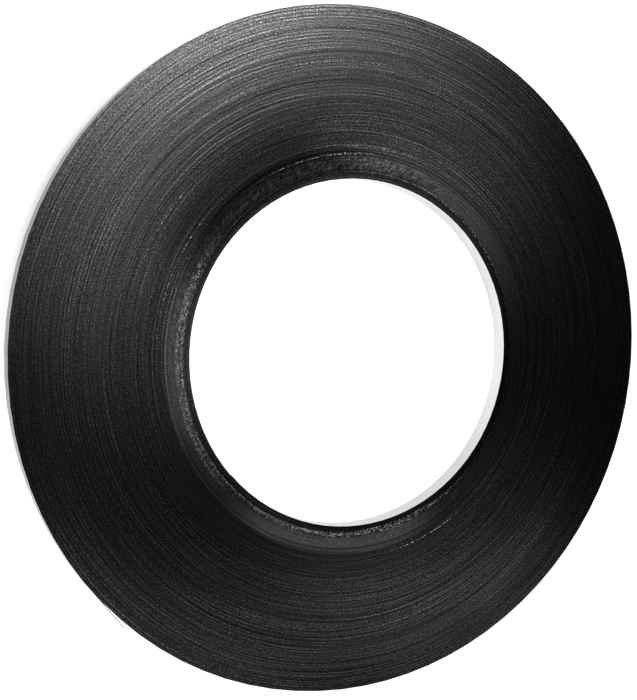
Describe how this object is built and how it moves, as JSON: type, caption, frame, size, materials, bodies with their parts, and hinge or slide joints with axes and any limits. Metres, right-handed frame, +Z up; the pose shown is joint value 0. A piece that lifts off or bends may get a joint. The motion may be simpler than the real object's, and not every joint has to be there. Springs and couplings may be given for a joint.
{
  "type": "steel strapping coil",
  "caption": "Flat ribbon-wound coil of narrow blued steel strapping with a wide open bore; the turns show as fine rings on both ends and the free end stands a little off the rim.",
  "frame": {"origin": "on the coil's axis, in the plane of the floor that it lies on", "axes": "+Z up along the coil's axis; the strap's free end leaves the rim on the -X -Y side, 221 degrees counter-clockwise from +X seen from above"},
  "size_m": [0.5896, 0.5894, 0.0181],
  "materials": {
    "blued_steel": "blued, with bright slit edges"
  },
  "bodies": {
    "root": {"strap_coil": "blued_steel"}
  },
  "joints": []
}
